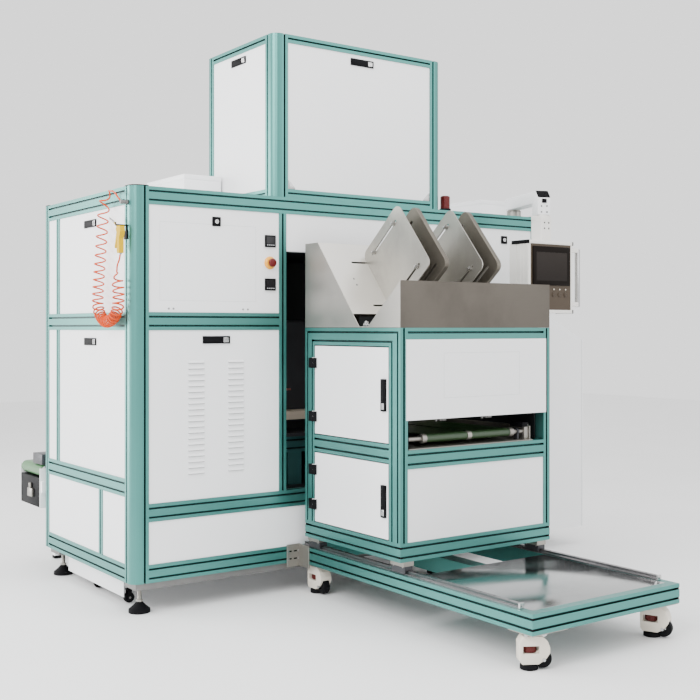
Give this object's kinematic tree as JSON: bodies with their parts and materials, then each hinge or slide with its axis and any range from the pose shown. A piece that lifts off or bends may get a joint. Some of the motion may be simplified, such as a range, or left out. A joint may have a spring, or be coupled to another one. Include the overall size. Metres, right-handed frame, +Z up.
{
  "type": "vacuum packing machine",
  "caption": "Framed vacuum packing machine for brick bags, with a bag loader that slides on a rail base, a swivelling operator panel and an outfeed belt.",
  "frame": {"origin": "centre of the underside of the main machine's front left levelling foot", "axes": "+X along the machine's front towards its right end cover, +Y from the front to the back, +Z up"},
  "size_m": [2.9348, 3.0175, 2.6903],
  "materials": {
    "anodised_profile": "satin teal anodised",
    "white_panel": "semi-gloss white",
    "stainless": "brushed",
    "dark_metal": "satin black",
    "black_plastic": "matte",
    "green_belt": "satin dark green",
    "ivory_plastic": "semi-gloss",
    "red_plastic": "gloss",
    "orange_hose": "gloss",
    "yellow_plastic": "semi-gloss",
    "bronze_fascia": "matte film"
  },
  "bodies": {
    "machine": {"front_frame": "anodised_profile", "back_frame": "anodised_profile", "left_frame": "anodised_profile", "right_frame": "anodised_profile", "machine_housing": "white_panel", "control_door": "white_panel", "louvred_door": "white_panel", "right_door": "white_panel", "left_upper_door": "white_panel", "left_lower_door": "white_panel", "roof": "white_panel", "infeed_chamber": "dark_metal", "table_frame": "anodised_profile", "vacuum_chambers": "dark_metal", "foot_frame": "stainless", "end_cover": "white_panel", "beacon": "red_plastic", "upper_frame": "anodised_profile", "upper_housing": "white_panel", "upper_front_panel": "white_panel", "upper_left_panel": "white_panel", "outfeed_frame": "white_panel", "outfeed_belt": "green_belt", "base_frame": "anodised_profile", "base_deck": "stainless", "left_track": "stainless", "right_track": "stainless", "castor_front_left": "ivory_plastic", "castor_front_right": "ivory_plastic", "castor_back_left": "ivory_plastic", "castor_back_right": "ivory_plastic", "arm_foot": "stainless", "hose_coil": "orange_hose", "hose_lead": "orange_hose", "hose_fitting": "stainless", "blow_gun": "yellow_plastic", "gun_hook": "black_plastic"},
    "stop_button": {"stop_button": "red_plastic"},
    "loader": {"loader_frame": "anodised_profile", "loader_casing": "white_panel", "loader_front_cover": "white_panel", "bearing_front_left": "dark_metal", "bearing_back_left": "dark_metal", "bearing_front_right": "dark_metal", "bearing_back_right": "dark_metal", "trough": "stainless", "left_guide_plate": "stainless", "left_padded_guide": "stainless", "right_guide_plate": "stainless", "right_padded_guide": "stainless", "delivery_bed": "stainless", "left_delivery_belt": "green_belt", "right_delivery_belt": "green_belt"},
    "loader_upper_door": {"loader_upper_door": "white_panel"},
    "loader_lower_door": {"loader_lower_door": "white_panel"},
    "panel_arm": {"panel_arm": "white_panel"},
    "panel_head": {"panel_case": "white_panel", "panel_fascia": "bronze_fascia"}
  },
  "joints": [
    {"name": "stop_button_push", "type": "slide", "parent": "machine", "child": "stop_button", "axis": [0, 1, 0], "range_m": [0, 0.004], "stiffness_N_per_m": 2000},
    {"name": "loader_slide", "type": "slide", "parent": "machine", "child": "loader", "axis": [0, -1, 0], "range_m": [0, 0.6]},
    {"name": "loader_upper_door_hinge", "type": "hinge", "parent": "loader", "child": "loader_upper_door", "pos_m": [0.769, -0.2545, 0.98], "axis": [0, 0, -1], "range_deg": [0, 95]},
    {"name": "loader_lower_door_hinge", "type": "hinge", "parent": "loader", "child": "loader_lower_door", "pos_m": [0.769, -0.2545, 0.52], "axis": [0, 0, -1], "range_deg": [0, 95]},
    {"name": "panel_arm_swivel", "type": "hinge", "parent": "machine", "child": "panel_arm", "pos_m": [2.287, -0.03, 1.94], "axis": [0, 0, 1], "range_deg": [-15, 45]},
    {"name": "panel_head_swivel", "type": "hinge", "parent": "panel_arm", "child": "panel_head", "pos_m": [2.16558, -0.36359, 1.8], "axis": [0, 0, 1], "range_deg": [-40, 40]}
  ]
}
